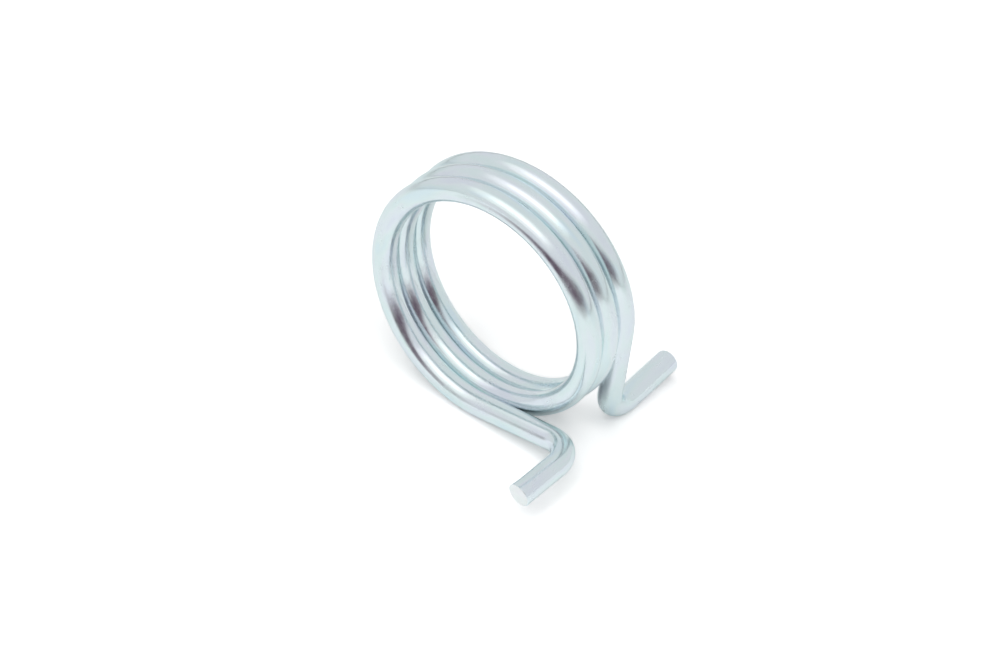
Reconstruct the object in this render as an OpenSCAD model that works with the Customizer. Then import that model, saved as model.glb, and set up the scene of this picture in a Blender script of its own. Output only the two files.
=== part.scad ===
// Helical torsion spring, wound right-handed from one round wire.
//
// The wire runs from the front tip, through a square bend and a straight leg,
// round the coil, down the other straight leg and through a second bend to the
// rear tip. Both tips point away from the coil, along its axis.
//
// Frame: the origin is on the coil's axis, midway between the planes where the
// two legs leave the coil. +Y is the coil's axis, from the front tip's side to
// the rear tip's side, and +Z is up when the spring stands on its coil and on
// the bend of its rear leg. Millimetres and degrees.

/* [Wire] */
// Diameter of the wire
wire_d = 2.5; // [1.6:0.1:2.8]

/* [Coil] */
// Inside diameter of the coil, which slips over an arbor
inner_d = 22; // [18:0.5:40]
// Clear gap between neighbouring turns
turn_gap = 0.1; // [0.05:0.05:2]
// Whole turns in the coil
whole_turns = 2; // [1:1:8]
// How far the wire goes on round the coil past the last whole turn
part_turn = 282.9; // [200:0.1:340]

/* [Legs] */
// Length of a straight leg, from where it leaves the coil to its bend's corner
leg_l = 11.8; // [9:0.1:30]
// Inside radius of both bends
bend_inner_r = 2; // [1:0.1:3]
// Length of the front tip, from its bend's corner to the middle of the cut end
front_tip_l = 9; // [7.5:0.1:25]
// Length of the rear tip, from its bend's corner to the cut end
rear_tip_l = 10.2; // [7.5:0.1:25]
// How far the front tip leans back towards the coil, off the axis direction
front_lean = -0.2; // [-5:0.1:15]
// How far the rear tip leans back towards the coil, off the axis direction
rear_lean = 7.1; // [-5:0.1:15]

/* [Cut ends] */
// Width of the bevel round the rear tip's cut end
end_bevel = 0.25; // [0.05:0.05:0.5]
// How far the shear spreads the wire at the front tip's cut end, on each side
shear_spread = 0.1; // [0.02:0.02:0.2]
// Length over which the sheared end spreads
shear_l = 0.8; // [0.2:0.1:1.5]
// How far off square the shear cuts the front tip
shear_tilt = 11.5; // [0:0.5:15]
// Side of the front tip that the cut leaves longest, about the wire from the leg's direction
shear_side = 48; // [0:1:359]

/* [Hidden] */

wire_r = wire_d / 2;
coil_r = (inner_d + wire_d) / 2;    // mean radius of the coil
pitch = wire_d + turn_gap;
bend_r = bend_inner_r + wire_r;     // radius of a bend, at the wire's centre
coil_turn = 360 * whole_turns + part_turn;
coil_l = pitch * coil_turn / 360;   // between the planes where the legs leave

// The coil is a chain of equal circular arcs, each turned a little about the
// wire's own centre line from the one before, so that the chain climbs like a
// helix and every arc flows into the next. One arc and its twist together make
// the screw motion that turns by arc_turn about the coil's axis and rises by
// arc_rise along it. The rest follows from that.
arcs = ceil(coil_turn / 90);
arc_turn = coil_turn / arcs;
arc_rise = coil_l / arcs;
half_sin = sin(arc_turn / 2);
twist = 2 * asin(arc_rise * half_sin / norm([2 * coil_r * half_sin, arc_rise]));
arc_angle = 2 * acos(cos(arc_turn / 2) / cos(twist / 2));
arc_r = coil_r * half_sin * half_sin
    / (sin(arc_angle / 2) * sqrt(pow(half_sin, 2) - pow(sin(twist / 2), 2)));
slope = atan(sin(twist / 2) / tan(arc_angle / 2));  // of the wire at each joint

// A leg's bend, and the length from the bend's sharp corner to either end of it
function bend_angle(lean) = 90 - slope + lean;
function corner_l(lean) = bend_r * tan(bend_angle(lean) / 2);

// How far below the point where the rear leg leaves the coil its bend reaches,
// at the wire's centre
rear_drop = (leg_l - corner_l(rear_lean)) * cos(slope) + bend_r * (1 - sin(slope));

// Angle, seen from the front, at which the rear leg leaves the coil when the
// coil and the rear bend stand on one level. The front leg follows from it.
rear_at = acos(coil_r / norm([rear_drop, coil_r])) - atan2(coil_r, rear_drop);
front_at = rear_at + coil_turn;

// The wire is drawn as a row of pieces, and no face of one may fall on a face of
// the next. So neighbours differ by a hair in radius, and the thinner one runs a
// little way into the other. Thinness counts those hairs: 0 for the legs and the
// tips, 1 for a bend, and 1 and 2 by turns for the arcs of the coil.
hair = 0.005;
lap = 0.05;
function thinness(n) = n < 0 || n >= arcs ? 0 : 1 + n % 2;  // past the coil is a leg
function lap_into(n, next) = thinness(n) > thinness(next) ? lap : 0;

faces = 64;     // sides of the wire where it is drawn as a mesh

// Each piece below starts at the origin of its own frame with the wire running
// along +Z. Its children carry on from its far end, in the frame there.

module straight(length) {
    cylinder(r = wire_r, h = length, $fn = faces);
    translate([0, 0, length]) children();
}

// Frame at the end of an arc that curves towards -X.
module arc_end(radius, angle) {
    translate([-radius, 0, 0])
        rotate([0, -angle, 0])
            translate([radius, 0, 0]) children();
}

// An arc of wire: a quarter or half ring, trimmed square where the arc ends.
// lap_in and lap_out are how far it runs past its start and its end.
module arc(radius, angle, thin, lap_in, lap_out) {
    from = -lap_in / radius * 180 / PI;
    to = angle + lap_out / radius * 180 / PI;
    reach = 2 * (radius + wire_d);
    difference() {
        arc_end(radius, from)
            translate([-radius, 0, 0])
                rotate([90, 0, 0])
                    rotate_extrude(angle = to - from > 90 ? 180 : 90, $fn = 2 * faces)
                        translate([radius, 0]) circle(r = wire_r - thin * hair, $fn = faces);
        arc_end(radius, to)
            translate([wire_d - reach, -wire_d, 0])
                cube([reach, 2 * wire_d, reach]);
    }
    arc_end(radius, angle) children();
}

module twisted(angle) {
    rotate([0, 0, angle]) children();
}

// The coil from its arc n on, and then what follows it.
module coil(n) {
    if (n < arcs)
        twisted(twist / 2)
            arc(arc_r, arc_angle, thinness(n), lap_into(n, n - 1), lap_into(n, n + 1))
                twisted(twist / 2) coil(n + 1) children();
    else
        children();
}

// A straight leg and the bend at its end. Its child is the tip, drawn from the
// bend's sharp corner, with the tip's axis along +Z.
module leg(lean) {
    straight(leg_l - corner_l(lean))
        twisted(90) arc(bend_r, bend_angle(lean), 1, lap, lap)
            translate([0, 0, -corner_l(lean)]) children();
}

// The straight part of a tip, from start to length, turned in one with its end:
// over the last end_l the radius changes to end_r.
module turned_tip(start, length, end_l, end_r) {
    rotate_extrude($fn = faces)
        polygon([
            [0, start], [wire_r, start], [wire_r, length - end_l],
            [end_r, length], [0, length],
        ]);
}

module bevelled_tip(start, length) {
    turned_tip(start, length, end_bevel, wire_r - end_bevel);
}

// The shear cuts a little off square, through the middle of the end at length.
module sheared_tip(start, length) {
    end_r = wire_r + shear_spread;
    spare = end_r * tan(shear_tilt) + lap;
    difference() {
        turned_tip(start, length + spare, shear_l + spare, end_r);
        translate([0, 0, length])
            rotate([0, 0, shear_side]) rotate([0, -shear_tilt, 0])
                translate([-wire_d, -wire_d, 0]) cube(2 * wire_d);
    }
}

// Where the coil's wire starts, with the coil ahead of it.
module at_coil_start() {
    translate([0, -coil_l / 2, 0])
        rotate([0, -front_at, 0])
            translate([coil_r, 0, 0])
                rotate([180 + slope, 0, 0]) children();
}

module torsion_spring() {
    color("lightsteelblue") at_coil_start() {
        coil(0) leg(rear_lean) bevelled_tip(corner_l(rear_lean), rear_tip_l);
        rotate([180, 0, 0])
            leg(front_lean) sheared_tip(corner_l(front_lean), front_tip_l);
    }
}

torsion_spring();
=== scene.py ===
# %% [markdown]
# # A torsion spring in bright zinc plated wire
#
# A torsion spring is one length of round spring wire. A coiling machine winds the coil round a mandrel
# and leaves a straight leg at each end, and a second tool bends each leg square, so that its tip can
# hook into a hole in a lever or a bracket. The spring is plated with zinc after it has been formed. This
# lesson follows the wire in the same order: its centre line, the round section swept along that line,
# the two cut ends, the zinc, and then a white bench and soft lights to see it by.
#
# The frame comes first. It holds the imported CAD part, in metres, and every piece below is fitted to it.

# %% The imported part
import math

import bmesh
import bpy
from mathutils import Matrix, Vector, noise


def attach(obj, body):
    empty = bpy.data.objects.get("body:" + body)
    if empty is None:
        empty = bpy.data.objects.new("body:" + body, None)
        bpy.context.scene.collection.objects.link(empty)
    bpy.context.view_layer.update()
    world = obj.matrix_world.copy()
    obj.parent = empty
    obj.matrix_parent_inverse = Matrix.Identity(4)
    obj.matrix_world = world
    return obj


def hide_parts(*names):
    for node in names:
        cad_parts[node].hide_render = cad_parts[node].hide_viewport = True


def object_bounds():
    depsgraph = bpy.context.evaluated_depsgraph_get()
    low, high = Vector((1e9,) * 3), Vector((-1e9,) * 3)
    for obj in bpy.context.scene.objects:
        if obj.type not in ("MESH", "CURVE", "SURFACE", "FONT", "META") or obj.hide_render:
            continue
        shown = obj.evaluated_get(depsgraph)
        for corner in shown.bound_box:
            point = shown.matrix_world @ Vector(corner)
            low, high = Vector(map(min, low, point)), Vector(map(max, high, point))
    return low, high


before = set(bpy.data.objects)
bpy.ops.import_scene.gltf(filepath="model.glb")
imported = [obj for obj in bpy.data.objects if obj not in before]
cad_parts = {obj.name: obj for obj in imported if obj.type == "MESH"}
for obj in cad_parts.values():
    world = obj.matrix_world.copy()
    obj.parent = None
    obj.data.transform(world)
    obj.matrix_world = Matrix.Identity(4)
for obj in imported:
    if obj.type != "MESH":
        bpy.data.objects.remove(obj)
cad_low, cad_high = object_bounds()
print("CAD nodes:", sorted(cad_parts))
print("CAD box, mm:", [round(1000 * v, 3) for v in (*cad_low, *cad_high)])

# %% [markdown]
# ## Sizes
#
# The driving sizes are those of the CAD part, in millimetres, turned into metres once. The rest is
# worked out from them. The origin is on the coil's axis, which runs along Y, halfway between the planes
# where the two legs leave the coil.

# %% Driving sizes
MM = 0.001

WIRE_D = 2.5 * MM           # diameter of the wire
INNER_D = 22 * MM           # inside diameter of the coil
TURN_GAP = 0.1 * MM         # clear gap between neighbouring turns
WHOLE_TURNS = 2
PART_TURN = 282.9           # degrees past the last whole turn
LEG_L = 11.8 * MM           # from the coil to the sharp corner of the bend
BEND_INNER_R = 2 * MM
FRONT_TIP_L = 9.0 * MM      # from the corner of the bend to the middle of the cut end
REAR_TIP_L = 10.2 * MM
FRONT_LEAN = -0.2           # degrees that a tip leans back towards the coil
REAR_LEAN = 7.1
CAD_ARC = 90                # degrees, the most that one arc of the CAD coil turns
THINNER = 0.011 * MM        # taken off the swept wire's radius, to stay inside the CAD coil

wire_r = WIRE_D / 2
coil_r = (INNER_D + WIRE_D) / 2
bend_r = BEND_INNER_R + wire_r
coil_turn = 360 * WHOLE_TURNS + PART_TURN
coil_l = (WIRE_D + TURN_GAP) * coil_turn / 360
print(f"coil: mean radius {coil_r / MM:.2f} mm, {coil_turn / 360:.2f} turns, {coil_l / MM:.2f} mm long")

# %% [markdown]
# ## Where the legs go
#
# Seen from the front, a point of the coil is given by its angle, from +X towards +Z. The rear leg leaves
# at the angle at which its bend reaches down to the level of the coil, so that the spring stands on
# both. The front leg then leaves a whole coil of turning later. A leg runs on in the direction that the
# wire has there: along the coil's tangent, with the small slope of the winding.

# %% The slope of the winding and the angles of the legs
arcs = math.ceil(coil_turn / CAD_ARC)
arc_turn = math.radians(coil_turn / arcs)
slope = math.atan(coil_l / arcs / (2 * coil_r * math.tan(arc_turn / 2)))

rear_bend = math.radians(90 + REAR_LEAN) - slope
rear_straight = LEG_L - bend_r * math.tan(rear_bend / 2)
rear_drop = rear_straight * math.cos(slope) + bend_r * (1 - math.sin(slope))
rear_at = math.acos(coil_r / math.hypot(rear_drop, coil_r)) - math.atan2(coil_r, rear_drop)
front_at = rear_at + math.radians(coil_turn)
print(f"slope {math.degrees(slope):.2f} degrees, rear leg leaves at {math.degrees(rear_at):.2f} degrees")


# %% The corners and the ends
def leg_points(angle, side, lean, tip_l):
    """The corner of a leg and the end of its tip. side is -1 at the front and 1 at the rear."""
    start = Vector((coil_r * math.cos(angle), side * coil_l / 2, coil_r * math.sin(angle)))
    tangent = Vector((math.sin(angle), 0, -math.cos(angle))) * side
    axis = Vector((0, side, 0))
    corner = start + LEG_L * (math.cos(slope) * tangent + math.sin(slope) * axis)
    lean = math.radians(lean)
    return corner, corner + tip_l * (math.cos(lean) * axis - math.sin(lean) * tangent)


front_corner, front_end = leg_points(front_at, -1, FRONT_LEAN, FRONT_TIP_L)
rear_corner, rear_end = leg_points(rear_at, 1, REAR_LEAN, REAR_TIP_L)
print("ends, mm:", [round(v / MM, 3) for v in (*front_end, *rear_end)])

# %% [markdown]
# ## Building node trees in a script
#
# Geometry, materials and the world are all node trees here, and three small helpers keep them short. One
# adds a node, sets its options, and gives its sockets a number or a link. The others use it for a sum and
# for a mix of two colours.

# %% Helpers for node trees
def add_node(tree, kind, values=(), **options):
    """A new node. values maps socket names or numbers to values, or to sockets to link from."""
    node = tree.nodes.new(kind)
    for name, value in options.items():
        setattr(node, name, value)
    for key, value in dict(values).items():
        if isinstance(value, bpy.types.NodeSocket):
            tree.links.new(value, node.inputs[key])
        else:
            node.inputs[key].default_value = value
    return node


def math_node(tree, operation, a, b=0.0, c=0.0):
    return add_node(tree, "ShaderNodeMath", {0: a, 1: b, 2: c}, operation=operation).outputs[0]


def mixed_colour(tree, share, first, second, **options):
    """first where share is 0 and second where it is 1. Sockets 6 and 7 take a Mix node's two colours."""
    values = {"Factor": share, 6: first, 7: second}
    return add_node(tree, "ShaderNodeMix", values, data_type="RGBA", **options).outputs[2]


# %% [markdown]
# ## The wire's centre line
#
# The wire could be a Bezier curve drawn by hand, or a Screw modifier on a circle with two bent tubes
# joined on. A spring follows a rule all the way, though, so Geometry Nodes can make it from a few
# numbers: change the diameter or the count of turns, and the whole wire follows. The tree starts with a
# straight line of points. Most of them are moved onto a helix. Two spare points at each end become the
# corner of a leg's bend and the end of its tip.

# %% The coil and the corners of the legs
SPARE_POINTS = 2            # at each end of the points of the coil


def coil_points(tree, given, index, count):
    """Moves all points but the two spare ones at each end onto the helix."""
    line = add_node(tree, "GeometryNodeCurvePrimitiveLine").outputs[0]
    points = add_node(tree, "GeometryNodeResampleCurve", {"Curve": line, "Count": count}).outputs[0]
    last = math_node(tree, "SUBTRACT", given["Coil Points"], 1)
    share = math_node(tree, "DIVIDE", math_node(tree, "SUBTRACT", index, SPARE_POINTS), last)
    turned = math_node(tree, "MULTIPLY", share, given["Coil Turn"])
    angle = math_node(tree, "SUBTRACT", given["Front Angle"], turned)
    x = math_node(tree, "MULTIPLY", given["Coil Radius"], math_node(tree, "COSINE", angle))
    y = math_node(tree, "MULTIPLY", given["Coil Length"], math_node(tree, "SUBTRACT", share, 0.5))
    z = math_node(tree, "MULTIPLY", given["Coil Radius"], math_node(tree, "SINE", angle))
    place = add_node(tree, "ShaderNodeCombineXYZ", {0: x, 1: y, 2: z}).outputs[0]
    return add_node(tree, "GeometryNodeSetPosition", {"Geometry": points, "Position": place}).outputs[0]


def spare_points(tree, given, index, count, path):
    """Moves the spare points to the corners and ends. Also gives a mask of the two corners."""
    corners = []
    for number, name in ((0, "Front End"), (1, "Front Corner"), (-2, "Rear Corner"), (-1, "Rear End")):
        target = number if number >= 0 else math_node(tree, "ADD", count, number)
        same = math_node(tree, "COMPARE", index, target, 0.5)
        moved = {"Geometry": path, "Selection": same, "Position": given[name]}
        path = add_node(tree, "GeometryNodeSetPosition", moved).outputs[0]
        if "Corner" in name:
            corners.append(same)
    return path, math_node(tree, "ADD", *corners)


# %% [markdown]
# ## Round bends and even steps
#
# The line still turns a sharp corner into each tip. The bend could be worked out as an arc, as the coil
# is, but Fillet Curve rounds a corner in one node, with a radius that is zero at every other point. A new
# resampling then spaces the points evenly, so that the rings of the section sit equally close on the
# coil, the legs and the tips.

# %% Bends
def rounded(tree, given, path, is_corner):
    radius = math_node(tree, "MULTIPLY", is_corner, given["Bend Radius"])
    bends = {"Curve": path, "Count": given["Bend Points"], "Radius": radius}
    path = add_node(tree, "GeometryNodeFilletCurve", bends, mode="POLY").outputs[0]
    steps = {"Curve": path, "Length": given["Ring Spacing"]}
    return add_node(tree, "GeometryNodeResampleCurve", steps, mode="LENGTH").outputs[0]


# %% [markdown]
# ## The round section
#
# Curve to Mesh sweeps a circle along the line. The finish has to follow the wire round the coil, because
# the drawing die left its lines on the wire before it was wound. So the tree also stores, at every
# vertex, the place that it had on the straight wire: across it in X and Y, and along it in Z. The
# materials read that attribute in place of the object's own coordinates.

# %% Sweep and its straight coordinates
def captured(tree, geometry, kind, name, value):
    node = add_node(tree, "GeometryNodeCaptureAttribute", {"Geometry": geometry})
    node.capture_items.new(kind, name)
    tree.links.new(value, node.inputs[name])
    return node.outputs["Geometry"], node.outputs[name]


def swept(tree, given, path):
    length = add_node(tree, "GeometryNodeSplineParameter").outputs["Length"]
    path, along = captured(tree, path, "FLOAT", "along", length)
    section = {"Resolution": given["Sides"], "Radius": given["Wire Radius"]}
    circle = add_node(tree, "GeometryNodeCurvePrimitiveCircle", section).outputs[0]
    position = add_node(tree, "GeometryNodeInputPosition").outputs[0]
    circle, across = captured(tree, circle, "VECTOR", "across", position)
    wire = add_node(tree, "GeometryNodeCurveToMesh", {"Curve": path, "Profile Curve": circle}).outputs[0]
    lift = add_node(tree, "ShaderNodeCombineXYZ", {2: along}).outputs[0]
    straight = add_node(tree, "ShaderNodeVectorMath", {0: across, 1: lift}).outputs[0]
    stored = {"Geometry": wire, "Name": "straight_wire", "Value": straight}
    return add_node(
        tree, "GeometryNodeStoreNamedAttribute", stored, data_type="FLOAT_VECTOR", domain="POINT"
    ).outputs[0]


# %% [markdown]
# ## The whole tree
#
# The steps above are put together in one node group with named inputs, which a person could also change
# in the modifier's panel. It ends in Realize Instances and Set Material, so that what comes out is a
# plain mesh with its finish on it.

# %% The spring's tree
SPRING_INPUTS = (
    ("Wire Radius", "Float"), ("Coil Radius", "Float"), ("Coil Length", "Float"), ("Coil Turn", "Float"),
    ("Front Angle", "Float"), ("Coil Points", "Int"), ("Front End", "Vector"), ("Front Corner", "Vector"),
    ("Rear Corner", "Vector"), ("Rear End", "Vector"), ("Bend Radius", "Float"), ("Bend Points", "Int"),
    ("Ring Spacing", "Float"), ("Sides", "Int"), ("Finish", "Material"),
)


def spring_tree():
    tree = bpy.data.node_groups.new("coiled wire", "GeometryNodeTree")
    tree.interface.new_socket("Geometry", in_out="OUTPUT", socket_type="NodeSocketGeometry")
    for name, kind in SPRING_INPUTS:
        tree.interface.new_socket(name, in_out="INPUT", socket_type="NodeSocket" + kind)
    given = add_node(tree, "NodeGroupInput").outputs
    index = add_node(tree, "GeometryNodeInputIndex").outputs[0]
    count = math_node(tree, "ADD", given["Coil Points"], 2 * SPARE_POINTS)
    path = coil_points(tree, given, index, count)
    path, is_corner = spare_points(tree, given, index, count, path)
    wire = swept(tree, given, rounded(tree, given, path, is_corner))
    wire = add_node(tree, "GeometryNodeSetShadeSmooth", {"Geometry": wire}).outputs[0]
    wire = add_node(tree, "GeometryNodeRealizeInstances", {"Geometry": wire}).outputs[0]
    finished = {"Geometry": wire, "Material": given["Finish"]}
    wire = add_node(tree, "GeometryNodeSetMaterial", finished).outputs[0]
    add_node(tree, "NodeGroupOutput", {"Geometry": wire})
    return tree


coiled_wire = spring_tree()
print("nodes in the spring's tree:", len(coiled_wire.nodes))

# %% [markdown]
# ## Zinc: the colours in the film
#
# Bright zinc is a thin metal plate with a clear chromate film over it. The film is thinner than a wave
# of light, so it shows faint colours that drift along the wire: mint, pale blue and lavender. An image
# could hold them, but it would stretch round the bends. A noise texture on the straight coordinates of
# the wire follows it by itself. The plated surface and the cut ends both use this effect, so it is a
# node group.

# %% A helper for shader groups
def shader_group(name, inputs, outputs):
    """A new shader group with its input sockets' values and its output node's inputs."""
    tree = bpy.data.node_groups.new(name, "ShaderNodeTree")
    for label, kind in inputs:
        tree.interface.new_socket(label, in_out="INPUT", socket_type="NodeSocket" + kind)
    for label, kind in outputs:
        tree.interface.new_socket(label, in_out="OUTPUT", socket_type="NodeSocket" + kind)
    given = add_node(tree, "NodeGroupInput").outputs
    results = add_node(tree, "NodeGroupOutput").inputs
    return tree, given, results


def stretched_noise(tree, place, across, along, detail=2.0, roughness=0.5):
    """Noise whose patches are about across wide and along long on the wire, from 0 to 1."""
    stretch = {0: place, 1: (1 / across, 1 / across, 1 / along)}
    scaled = add_node(tree, "ShaderNodeVectorMath", stretch, operation="MULTIPLY").outputs[0]
    values = {"Vector": scaled, "Scale": 1.0, "Detail": detail, "Roughness": roughness}
    return add_node(tree, "ShaderNodeTexNoise", values).outputs["Fac"]


# %% The chromate film
FILM_COLOURS = (
    (0.30, (0.89, 0.97, 1.00)),     # pale blue
    (0.44, (0.94, 0.995, 0.975)),   # mint
    (0.54, (0.98, 0.99, 1.00)),
    (0.68, (0.955, 0.945, 1.00)),   # lavender
)


def chromate_film():
    inputs = (("Place", "Vector"), ("Zinc", "Color"), ("Strength", "Float"))
    tree, given, results = shader_group("chromate film", inputs, (("Color", "Color"),))
    drift = stretched_noise(tree, given["Place"], across=1.5 * MM, along=6 * MM, detail=3.0)
    ramp = add_node(tree, "ShaderNodeValToRGB", {"Fac": drift})
    stops = ramp.color_ramp.elements
    while len(stops) < len(FILM_COLOURS):
        stops.new(1.0)
    for stop, (position, colour) in zip(stops, FILM_COLOURS):
        stop.position = position
        stop.color = (*colour, 1)
    film = ramp.outputs["Color"]
    colour = mixed_colour(tree, given["Strength"], given["Zinc"], film, blend_type="MULTIPLY")
    tree.links.new(colour, results["Color"])
    return tree


film_group = chromate_film()
print("colours in the film:", len(FILM_COLOURS))

# %% [markdown]
# ## Zinc: the grain
#
# Two things break up the reflections. The drawing die leaves hair-fine lines along the wire, and the
# plate grows in soft bumps over them. Both are far too small to model, so they are a height for a Bump
# node. The group also puts out how dull each spot is, because the plate is duller where its grain stands
# up.

# %% The plated grain
WAVES = 3.0                 # how much higher the long waves are than the bumps
DULL_BUMPS = 0.5            # how much of the dullness follows the bumps


def plated_grain():
    inputs = (("Place", "Vector"), ("Lines", "Float"))
    outputs = (("Height", "Float"), ("Dullness", "Float"))
    tree, given, results = shader_group("plated grain", inputs, outputs)
    place = given["Place"]
    lines = stretched_noise(tree, place, across=0.07 * MM, along=4 * MM, detail=1.0)
    bumps = stretched_noise(tree, place, across=0.32 * MM, along=0.55 * MM, detail=3.0, roughness=0.55)
    waves = stretched_noise(tree, place, across=1.1 * MM, along=2.6 * MM, detail=1.0)
    height = math_node(tree, "MULTIPLY_ADD", lines, given["Lines"], bumps)
    height = math_node(tree, "MULTIPLY_ADD", waves, WAVES, height)
    tree.links.new(height, results["Height"])
    patches = stretched_noise(tree, place, across=0.8 * MM, along=2 * MM, detail=3.0)
    dullness = math_node(tree, "MULTIPLY_ADD", bumps, DULL_BUMPS, patches)
    tree.links.new(dullness, results["Dullness"])
    return tree


grain_group = plated_grain()
print("nodes in the grain:", len(grain_group.nodes))

# %% [markdown]
# ## Two finishes from the same groups
#
# The wire's round surface is smooth plate over drawn wire. A cut end is plate over sheared steel:
# duller, with less colour, and without the lines. Both are metals, so the colour of what they mirror is
# their base colour, and all their shading comes from the studio around them.

# %% Materials
BRIGHT_FROM = 0.5           # dullness at which the plate is brightest
DULL_FROM = 1.0             # dullness at which it is dullest


def zinc_material(name, zinc, film, lines, grain_height, dull, metallic=1.0):
    """dull is the roughness where the plate is brightest and where it is dullest."""
    material = bpy.data.materials.new(name)
    material.use_nodes = True
    tree = material.node_tree
    shader = tree.nodes["Principled BSDF"]
    shader.inputs["Metallic"].default_value = metallic
    place = add_node(tree, "ShaderNodeAttribute", attribute_name="straight_wire").outputs["Vector"]
    tint = {"Place": place, "Zinc": (*zinc, 1), "Strength": film}
    colour = add_node(tree, "ShaderNodeGroup", tint, node_tree=film_group)
    tree.links.new(colour.outputs["Color"], shader.inputs["Base Color"])
    grain = add_node(tree, "ShaderNodeGroup", {"Place": place, "Lines": lines}, node_tree=grain_group)
    spread = {
        "Value": grain.outputs["Dullness"], "From Min": BRIGHT_FROM, "From Max": DULL_FROM,
        "To Min": dull[0], "To Max": dull[1],
    }
    roughness = add_node(tree, "ShaderNodeMapRange", spread).outputs["Result"]
    tree.links.new(roughness, shader.inputs["Roughness"])
    raised = {"Height": grain.outputs["Height"], "Strength": 1.0, "Distance": grain_height}
    bump = add_node(tree, "ShaderNodeBump", raised)
    tree.links.new(bump.outputs["Normal"], shader.inputs["Normal"])
    return material


zinc_wire = zinc_material(
    "bright_zinc", zinc=(0.82, 0.875, 0.895), film=1.0, lines=0.5, grain_height=0.0035 * MM,
    dull=(0.1, 0.3)
)
zinc_cut = zinc_material(
    "zinc_cut_end", zinc=(0.97, 0.98, 0.98), film=0.4, lines=0.0, grain_height=0.012 * MM,
    dull=(0.4, 0.55), metallic=0.4
)
print("materials:", [m.name for m in (zinc_wire, zinc_cut)])

# %% [markdown]
# ## The wire as a mesh
#
# The tree goes on an empty mesh as a modifier. Each input is set by its socket's identifier before the
# object is first evaluated. The result is then taken out as a plain mesh and the modifier goes, so that
# the piece is only geometry from here on.

# %% Running the tree
SIDES = 48                  # of the round section
RING_SPACING = 0.22 * MM    # along the wire
POINTS_A_DEGREE = 4         # of the coil's centre line, before it is spaced evenly
BEND_POINTS = 96


def wire_mesh(tree, values):
    maker = bpy.data.objects.new("wire_maker", bpy.data.meshes.new("wire_maker"))
    bpy.context.scene.collection.objects.link(maker)
    modifier = maker.modifiers.new(tree.name, "NODES")
    modifier.node_group = tree
    for item in tree.interface.items_tree:
        if item.in_out == "INPUT":
            modifier[item.identifier] = values[item.name]
    graph = bpy.context.evaluated_depsgraph_get()
    mesh = bpy.data.meshes.new_from_object(maker.evaluated_get(graph))
    maker.modifiers.clear()
    bpy.data.objects.remove(maker)
    return mesh


spring_mesh = wire_mesh(coiled_wire, {
    "Wire Radius": wire_r - THINNER, "Coil Radius": coil_r, "Coil Length": coil_l,
    "Coil Turn": math.radians(coil_turn), "Coil Points": POINTS_A_DEGREE * round(coil_turn),
    "Front Angle": front_at, "Front End": front_end, "Front Corner": front_corner,
    "Rear Corner": rear_corner, "Rear End": rear_end, "Bend Radius": bend_r, "Bend Points": BEND_POINTS,
    "Ring Spacing": RING_SPACING, "Sides": SIDES, "Finish": zinc_wire,
})
spring_mesh.name = "spring_wire"
print("wire:", len(spring_mesh.vertices), "vertices,", len(spring_mesh.polygons), "faces")

# %% [markdown]
# ## The two cut ends
#
# The sweep leaves both ends open. The front end looks sheared: a blade presses the near edge round,
# spreads the wire a little, cuts it somewhat off square, and leaves a small burr on the far edge. The rear
# end is cut square, and its rim is well rounded.
#
# A boolean cut would leave long thin faces and no rim to shade, so both are made ring by ring with bmesh.
# First the last rings of the wire are moved: out by the spread, and along the wire by the tilt of the cut
# and by the room that the rim needs. Then new rings go round the rim and in over the face, down to one
# point in the middle.

# %% What an end needs to know
class CutEnd:
    """One end of the wire: its middle, the way it faces, and the numbers for its shape."""

    def __init__(self, middle, out, long_side, tilt, spread, rim, relief):
        self.middle = middle
        self.out = out
        self.long_side = (long_side - out * long_side.dot(out)).normalized()
        self.slant = math.tan(math.radians(tilt))
        self.spread = spread
        self.rim = rim
        self.relief = relief

    def side_of(self, radial):
        """1 on the side that the cut leaves longest, -1 on the side across from it."""
        return radial.dot(self.long_side)


# %% Moving the rings before an end
SETTLE_L = 1.6 * MM         # length over which the rings make room for the cut
SPREAD_L = 1.8 * MM         # length over which the blade spreads the wire
REACH = 1.2 * wire_r        # rings further out than this belong to the rest of the wire


def shape_last_rings(bm, end):
    for vertex in bm.verts:
        offset = vertex.co - end.middle
        from_end = -offset.dot(end.out)
        radial = offset + end.out * from_end
        if radial.length > REACH or from_end > max(SETTLE_L, SPREAD_L):
            continue
        radial.normalize()
        along = end.slant * wire_r * end.side_of(radial) - end.rim(radial)
        vertex.co += end.out * along * max(0, 1 - from_end / SETTLE_L)
        vertex.co += radial * end.spread(radial) * max(0, 1 - from_end / SPREAD_L) ** 2


# %% Rings for the rim and the face
RIM_STEPS = 6
FACE_STEPS = 9
CUT_FROM = RIM_STEPS - 2    # the ring from which the faces have the finish of the cut


def end_rings(end, edge):
    """Places for the rings of an end, from its open edge to just before its middle."""
    radials = [(p - end.middle) - end.out * (p - end.middle).dot(end.out) for p in edge]
    rims = [end.rim(r.normalized()) for r in radials]
    rings = []
    for step in range(1, RIM_STEPS + 1):
        turn = math.radians(90) * step / RIM_STEPS
        rings.append([
            p - r.normalized() * q * (1 - math.cos(turn)) + end.out * q * math.sin(turn)
            for p, r, q in zip(edge, radials, rims)
        ])
    face_edge = rings[-1]
    face_middle = sum(face_edge, Vector()) / len(face_edge)
    for step in range(1, FACE_STEPS):
        share = 1 - step / FACE_STEPS
        ring = [face_middle + (p - face_middle) * share for p in face_edge]
        rings.append([p + end.out * end.relief(p, share) for p in ring])
    return rings, face_middle


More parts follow.
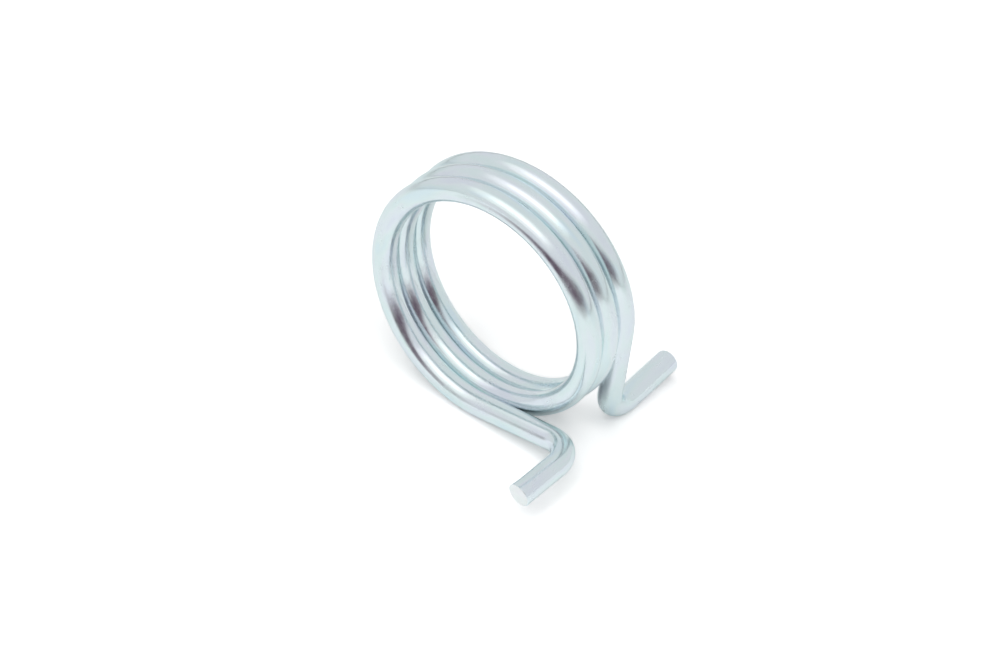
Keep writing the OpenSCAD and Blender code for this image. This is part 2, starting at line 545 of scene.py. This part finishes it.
# %% Closing one end
def close_end(bm, end, edge, straight, material_index):
    """Add the rings, a middle point and the faces between them."""
    rings, middle = end_rings(end, [v.co.copy() for v in edge])
    along = edge[0][straight].z
    inner = edge
    for number, places in enumerate(rings):
        outer, inner = inner, [bm.verts.new(place) for place in places]
        for vertex, first in zip(inner, edge):
            share = (vertex.co - middle).length / (first.co - middle).length
            vertex[straight] = Vector((first[straight].x * share, first[straight].y * share, along))
        for k in range(len(edge)):
            face = bm.faces.new((outer[k], outer[k - 1], inner[k - 1], inner[k]))
            face.smooth = True
            face.material_index = material_index if number >= CUT_FROM else 0
    centre = bm.verts.new(middle)
    centre[straight] = Vector((0, 0, along))
    for k in range(len(edge)):
        face = bm.faces.new((inner[k], inner[k - 1], centre))
        face.smooth = True
        face.material_index = material_index


# %% Helpers for the shapes of the ends
OCTAVES = 3                 # layers of bumps
FINER = 2.0                 # how many times narrower each layer's bumps are than the last one's
FLATTER = 0.8               # how fast the layers get lower, where 0 keeps them all as high
FACE_RISE = 4               # the relief has its full height a quarter of the way in from the rim


def smooth_share(value):
    value = min(max(value, 0), 1)
    return value * value * (3 - 2 * value)


def unevenness(place, width):
    """Random heights from about -1 to 1, with bumps about as wide as width."""
    return noise.fractal(place / width, FLATTER, FINER, OCTAVES)


# %% The sheared front end
SHEAR_TILT = 11.5           # degrees off square
SHEAR_SPREAD = 0.0245 * MM  # all round
BURR = 0.07 * MM            # more of it where the blade leaves the wire
BURR_RIM = 0.04 * MM        # radius of the rim where the blade leaves the wire
BLADE_RIM = 0.18 * MM       # radius of the rim that the blade presses round
TORN_DEPTH = 0.035 * MM     # height of the bumps on the torn part of the face
TORN_WIDTH = 0.5 * MM

to_front = (front_end - front_corner).normalized()
longest_side = Vector((0.55, 0, 0.84))
burr_side = Vector((-0.84, 0, 0.55))


def shear_rim(radial):
    return BURR_RIM + (BLADE_RIM - BURR_RIM) * smooth_share(-radial.dot(burr_side))


def shear_spread(radial):
    return SHEAR_SPREAD + BURR * smooth_share(radial.dot(burr_side)) ** 2


def shear_relief(place, share):
    """The torn part of the face is uneven, and the part that the blade cut is smooth."""
    torn = smooth_share(0.5 + (place - front_end).dot(burr_side) / wire_r)
    rise = smooth_share(FACE_RISE * (1 - share))
    return TORN_DEPTH * torn * unevenness(place, TORN_WIDTH) * rise


front_cut = CutEnd(front_end, to_front, longest_side, SHEAR_TILT, shear_spread, shear_rim, shear_relief)
print("front end faces:", [round(v, 3) for v in front_cut.out])

# %% The rounded rear end
ROUNDED_RIM = 0.44 * MM
CROWN = 0.03 * MM           # height of the face's middle over its edge
BUMP_HEIGHT = 0.012 * MM
BUMP_WIDTH = 0.6 * MM

to_rear = (rear_end - rear_corner).normalized()


def rounded_rim(radial):
    return ROUNDED_RIM


def no_spread(radial):
    return 0.0


def rounded_relief(place, share):
    rise = smooth_share(FACE_RISE * (1 - share))
    return CROWN * (1 - share * share) + BUMP_HEIGHT * unevenness(place, BUMP_WIDTH) * rise


rear_cut = CutEnd(rear_end, to_rear, Vector((0, 0, 1)), 0.0, no_spread, rounded_rim, rounded_relief)
print("rear end faces:", [round(v, 3) for v in rear_cut.out])

# %% Closing both ends
bm = bmesh.new()
bm.from_mesh(spring_mesh)
bm.verts.ensure_lookup_table()
straight_layer = bm.verts.layers.float_vector["straight_wire"]
first_ring = bm.verts[:SIDES]
last_ring = bm.verts[-SIDES:]
for end in (front_cut, rear_cut):
    shape_last_rings(bm, end)
spring_mesh.materials.append(zinc_cut)
close_end(bm, front_cut, first_ring, straight_layer, 1)
close_end(bm, rear_cut, last_ring[::-1], straight_layer, 1)
open_edges = sum(1 for edge in bm.edges if len(edge.link_faces) != 2)
print(f"open edges: {open_edges}, volume {bm.calc_volume(signed=True) / MM ** 3:.1f} mm3")
bm.to_mesh(spring_mesh)
bm.free()

# %% [markdown]
# ## The piece in the frame
#
# The mesh becomes one object at the origin, and it stands for the CAD node of the same form.

# %% The spring
spring = bpy.data.objects.new("spring_wire", spring_mesh)
bpy.context.scene.collection.objects.link(spring)
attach(spring, "root")
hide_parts("torsion_spring")
print("spring_wire:", len(spring_mesh.polygons), "faces")

# %% [markdown]
# ## The camera
#
# The spring is seen from above, from the front and from the right, through a long lens, so that the two
# sides of the coil look almost parallel. The aim is a little off the origin so that the spring sits in
# the middle of the picture, and the camera is rolled by a few degrees.

# %% Camera
VIEW_AZIMUTH = 34.989       # degrees from straight in front (-Y) towards +X
VIEW_ELEVATION = 41.074
VIEW_ROLL = 5.486
VIEW_DISTANCE = 0.536       # metres
FOCAL_LENGTH = 197.4        # mm
SENSOR_WIDTH = 36           # mm
AIM_RIGHT = -0.052 * MM
AIM_UP = -4.45 * MM

azimuth, elevation, roll = (math.radians(v) for v in (VIEW_AZIMUTH, VIEW_ELEVATION, VIEW_ROLL))
forward = Vector((
    -math.sin(azimuth) * math.cos(elevation), math.cos(azimuth) * math.cos(elevation), -math.sin(elevation)
))
level = forward.cross(Vector((0, 0, 1))).normalized()
right = math.cos(roll) * level + math.sin(roll) * level.cross(forward)
up = right.cross(forward)

lens = bpy.data.cameras.new("camera")
lens.lens = FOCAL_LENGTH
lens.sensor_width = SENSOR_WIDTH
lens.clip_start = 0.01
lens.clip_end = 10
camera = bpy.data.objects.new("camera", lens)
camera.matrix_world = Matrix((right, up, -forward)).transposed().to_4x4()
camera.matrix_world.translation = AIM_RIGHT * right + AIM_UP * up - VIEW_DISTANCE * forward
bpy.context.scene.collection.objects.link(camera)
bpy.context.scene.camera = camera
print("camera at, m:", [round(v, 3) for v in camera.matrix_world.translation])

# %% [markdown]
# ## The bench
#
# A white sheet lies under the spring. It takes the spring's shadow as any diffuse floor does. What the
# camera sees of it is whiter and is lifted by a little light of its own, so that the open bench is plain
# white and only the places where the lamp cannot reach stay grey. The metal mirrors a greyer sheet, which
# gives it its tone.

# %% Floor
SEEN_BENCH = (0.97, 0.97, 0.97)
MIRRORED_BENCH = (0.865, 0.9, 0.905)
BENCH_LIFT = 0.25


def floor_material():
    material = bpy.data.materials.new("white_bench")
    material.use_nodes = True
    tree = material.node_tree
    shader = tree.nodes["Principled BSDF"]
    shader.inputs["Roughness"].default_value = 0.9
    shader.inputs["Specular IOR Level"].default_value = 0
    shader.inputs["Emission Color"].default_value = (1, 1, 1, 1)
    ray = add_node(tree, "ShaderNodeLightPath").outputs
    seen = math_node(tree, "MAXIMUM", ray["Is Camera Ray"], ray["Is Transmission Ray"])
    shade = mixed_colour(tree, seen, (*MIRRORED_BENCH, 1), (*SEEN_BENCH, 1))
    tree.links.new(shade, shader.inputs["Base Color"])
    lift = math_node(tree, "MULTIPLY", seen, BENCH_LIFT)
    tree.links.new(lift, shader.inputs["Emission Strength"])
    return material


def stage_plane(name, corners, material):
    mesh = bpy.data.meshes.new(name)
    mesh.from_pydata(corners, [], [(0, 1, 2, 3)])
    mesh.materials.append(material)
    plane = bpy.data.objects.new(name, mesh)
    bpy.context.scene.collection.objects.link(plane)


BENCH = 1.5                 # half its width, metres
bench_corners = [(x * BENCH, y * BENCH, cad_low.z) for x, y in ((-1, -1), (1, -1), (1, 1), (-1, 1))]
stage_plane("floor", bench_corners, floor_material())
print(f"bench: {2 * BENCH} m wide, its top at {cad_low.z / MM:.3f} mm")

# %% [markdown]
# ## The room
#
# Metal shows what is around it, so the world is part of the finish. A Light Path node tells the rays
# apart, so the world can be three things at once: plain white for the camera, a pale grey room for rays
# that come off the metal, and an even dim fill for the light that falls on the bench.

# %% World
ROOM = (0.753, 0.772, 0.79)
FILL = 0.12


def studio_world():
    world = bpy.data.worlds.new("studio")
    world.use_nodes = True
    tree = world.node_tree
    ray = add_node(tree, "ShaderNodeLightPath").outputs
    light = mixed_colour(tree, ray["Is Glossy Ray"], (FILL, FILL, FILL, 1), (*ROOM, 1))
    seen = math_node(tree, "MAXIMUM", ray["Is Camera Ray"], ray["Is Transmission Ray"])
    shown = mixed_colour(tree, seen, light, (1, 1, 1, 1))
    tree.links.new(shown, tree.nodes["Background"].inputs["Color"])
    return world


bpy.context.scene.world = studio_world()
print("the metal mirrors a room of", ROOM)

# %% [markdown]
# ## The softbox
#
# One wide softbox hangs level over the spring and reaches out towards the camera. It makes the white
# streaks on the coil and the soft shadow under it. A film would hold back the glare of a softbox in
# bright metal, but the Standard view does not. So the softbox is made in parts that hang close together:
# a lamp that lights the bench and is not mirrored, and a glowing panel that is only mirrored. The panel
# fades towards its rim, as a real one does. A smaller panel just under it makes it brighter over the
# spring. Both panels fade in the same way, so the fade is a node group too.

# %% Lamp
LAMP_AT = (0.1, -0.3, 0.54)     # metres, from the middle of the coil
LAMP_SIZE = (1.0, 0.95)         # metres
LAMP_RADIANCE = 2.2


def softbox_lamp(centre, width, length, radiance):
    """A level panel of light. radiance is how bright its own surface is."""
    lamp = bpy.data.lights.new("softbox", "AREA")
    lamp.shape = "RECTANGLE"
    lamp.size = width
    lamp.size_y = length
    lamp.energy = radiance * math.pi * width * length
    box = bpy.data.objects.new("softbox", lamp)
    box.location = centre
    box.visible_glossy = False
    bpy.context.scene.collection.objects.link(box)


softbox_lamp(LAMP_AT, *LAMP_SIZE, LAMP_RADIANCE)
print(f"lamp: {LAMP_SIZE[0]} x {LAMP_SIZE[1]} m, {LAMP_AT[2]} m over the coil's axis")

# %% Panels that only mirrored rays see
def glow_material(name, colour):
    material = bpy.data.materials.new(name)
    material.use_nodes = True
    tree = material.node_tree
    shader = tree.nodes["Principled BSDF"]
    shader.inputs["Base Color"].default_value = (0, 0, 0, 1)
    shader.inputs["Specular IOR Level"].default_value = 0
    shader.inputs["Emission Color"].default_value = (*colour, 1)
    shader.inputs["Emission Strength"].default_value = 1
    return material


def mirrored_only(piece):
    for ray in ("camera", "diffuse", "shadow", "transmission"):
        setattr(piece, "visible_" + ray, False)


# %% The fade towards a panel's rim
RIM_FADE_INPUTS = (
    ("Place", "Vector"), ("Half Width", "Float"), ("Half Length", "Float"), ("Fading", "Float"),
    ("Rim", "Color"), ("Middle", "Color"),
)


def fade(tree, distance, rim, fading):
    """1 inside, falling to 0 at the rim over the share fading of the half size."""
    full = math_node(tree, "MULTIPLY", rim, math_node(tree, "SUBTRACT", 1.0, fading))
    distance = math_node(tree, "ABSOLUTE", distance)
    values = {"Value": distance, "From Min": rim, "From Max": full, "To Min": 0.0, "To Max": 1.0}
    return add_node(tree, "ShaderNodeMapRange", values, interpolation_type="SMOOTHSTEP").outputs["Result"]


def rim_fade():
    tree, given, results = shader_group("rim fade", RIM_FADE_INPUTS, (("Color", "Color"),))
    axes = add_node(tree, "ShaderNodeSeparateXYZ", {0: given["Place"]}).outputs
    across = fade(tree, axes["X"], given["Half Width"], given["Fading"])
    along = fade(tree, axes["Y"], given["Half Length"], given["Fading"])
    inside = math_node(tree, "MULTIPLY", across, along)
    tree.links.new(mixed_colour(tree, inside, given["Rim"], given["Middle"]), results["Color"])
    return tree


rim_fade_group = rim_fade()
print("nodes in the rim fade:", len(rim_fade_group.nodes))


# %% A glowing panel
def glowing_panel(name, centre, size, rim_colour, colour, fading):
    """fading is the share of the half size over which the rim's colour turns into the middle's."""
    x, y = size[0] / 2, size[1] / 2
    material = glow_material(name, colour)
    tree = material.node_tree
    place = add_node(tree, "ShaderNodeTexCoord").outputs["Object"]
    values = {
        "Place": place, "Half Width": x, "Half Length": y, "Fading": fading,
        "Rim": (*rim_colour, 1), "Middle": (*colour, 1),
    }
    glow = add_node(tree, "ShaderNodeGroup", values, node_tree=rim_fade_group).outputs["Color"]
    tree.links.new(glow, tree.nodes["Principled BSDF"].inputs["Emission Color"])
    mesh = bpy.data.meshes.new(name)
    mesh.from_pydata([(-x, -y, 0), (-x, y, 0), (x, y, 0), (x, -y, 0)], [], [(0, 1, 2, 3)])
    mesh.materials.append(material)
    panel = bpy.data.objects.new(name, mesh)
    panel.location = centre
    bpy.context.scene.collection.objects.link(panel)
    mirrored_only(panel)


# %% Both panels
PANEL = (1.0, 1.0, 1.0)
PANEL_MIDDLE = (1.36, 1.36, 1.36)
PANELS = (      # name, middle and size in metres, colour of the rim and of the middle, how far it fades
    ("softbox_panel", (-0.08, -0.445, 0.55), (0.98, 1.1), ROOM, PANEL, 0.28),
    ("softbox_middle", (-0.01, -0.26, 0.54), (0.68, 0.44), PANEL, PANEL_MIDDLE, 0.5),
)
for panel in PANELS:
    glowing_panel(*panel)
print("panels:", [panel[0] for panel in PANELS])

# %% [markdown]
# ## The dark flag
#
# In an all-white room bright metal would look like paper. So a studio puts a dark flag before it, and
# the metal mirrors the flag as the dark streaks that show how round it is. The flag stands close, about
# one and a half coil widths from the middle of the coil. From low on the coil it is seen high up, and
# from the top low down, and that puts each streak in its own place. A flat card would do for one streak,
# but these run round the coil, so the flag is a strip of faces through a list of directions. Where it
# would go through the bench it lies just above it. Its edges fade, because a hard edge would be mirrored
# as a hard line. Only mirrored rays see it.

# %% Flag
FLAG_DISTANCE = 42 * MM     # from the middle of the coil
FLAG_SOFT = 6               # degrees over which it fades, on either side of an edge
FLAG_ROWS = 15              # of points, from its lower to its upper edge
FLAG_OVER_BENCH = 0.5 * MM
FLAG_EDGES = (      # compass from +Y towards +X, elevation of both edges, and how much it covers there
    (84, 15, 20, 0.0), (96, 12, 25, 0.5), (108, 7, 27, 0.8), (120, 3, 27, 0.9), (132, -1, 25, 1.0),
    (144, -5, 23, 1.0), (156, -10, 20, 1.0), (168, -14, 16, 1.0), (180, -19, 10, 1.0),
    (192, -21, 6, 0.75), (204, -20, 2, 0.25), (214, -18, 0, 0.0),
)


def direction(compass, elevation):
    """The way out from the middle of the coil, one unit long."""
    compass, elevation = math.radians(compass), math.radians(elevation)
    level_part = math.cos(elevation)
    return Vector((math.sin(compass) * level_part, math.cos(compass) * level_part, math.sin(elevation)))


def flag_point(compass, elevation):
    """A point of the flag, pulled in where it would otherwise be in the bench."""
    place = direction(compass, elevation) * FLAG_DISTANCE
    lowest = cad_low.z + FLAG_OVER_BENCH
    if place.z < lowest:
        place *= lowest / place.z
    return place


# %% The flag's colour and how far it covers
FLAG_COLOUR = (0.145, 0.105, 0.135)


def flag_material(colour):
    """How far the strip covers what is behind it is stored on its vertices."""
    material = glow_material("dark_flag", colour)
    tree = material.node_tree
    cover = add_node(tree, "ShaderNodeAttribute", attribute_name="cover").outputs["Fac"]
    tree.links.new(cover, tree.nodes["Principled BSDF"].inputs["Alpha"])
    return material


# %% The strip
def dark_flag(material):
    corners = []
    covers = []
    for compass, low, high, most in FLAG_EDGES:
        low, high = low - FLAG_SOFT, high + FLAG_SOFT
        for row in range(FLAG_ROWS):
            elevation = low + (high - low) * row / (FLAG_ROWS - 1)
            inside = min(elevation - low, high - elevation) / (2 * FLAG_SOFT)
            corners.append(flag_point(compass, elevation))
            covers.append(most * min(inside, 1.0))
    faces = []
    for column in range(len(FLAG_EDGES) - 1):
        for row in range(FLAG_ROWS - 1):
            k = column * FLAG_ROWS + row
            faces.append((k, k + FLAG_ROWS, k + FLAG_ROWS + 1, k + 1))
    mesh = bpy.data.meshes.new("dark_flag")
    mesh.from_pydata(corners, [], faces)
    mesh.attributes.new("cover", "FLOAT", "POINT").data.foreach_set("value", covers)
    mesh.materials.append(material)
    card = bpy.data.objects.new("dark_flag", mesh)
    bpy.context.scene.collection.objects.link(card)
    mirrored_only(card)


dark_flag(flag_material(FLAG_COLOUR))
print(f"flag: {FLAG_DISTANCE / MM:.0f} mm from the coil's middle, {len(FLAG_EDGES)} columns")

# %% [markdown]
#
# The Standard view shows a colour as it is written. The last cell sets it. The render may not be
# larger than the part.

# %% View
bpy.context.scene.view_settings.view_transform = "Standard"
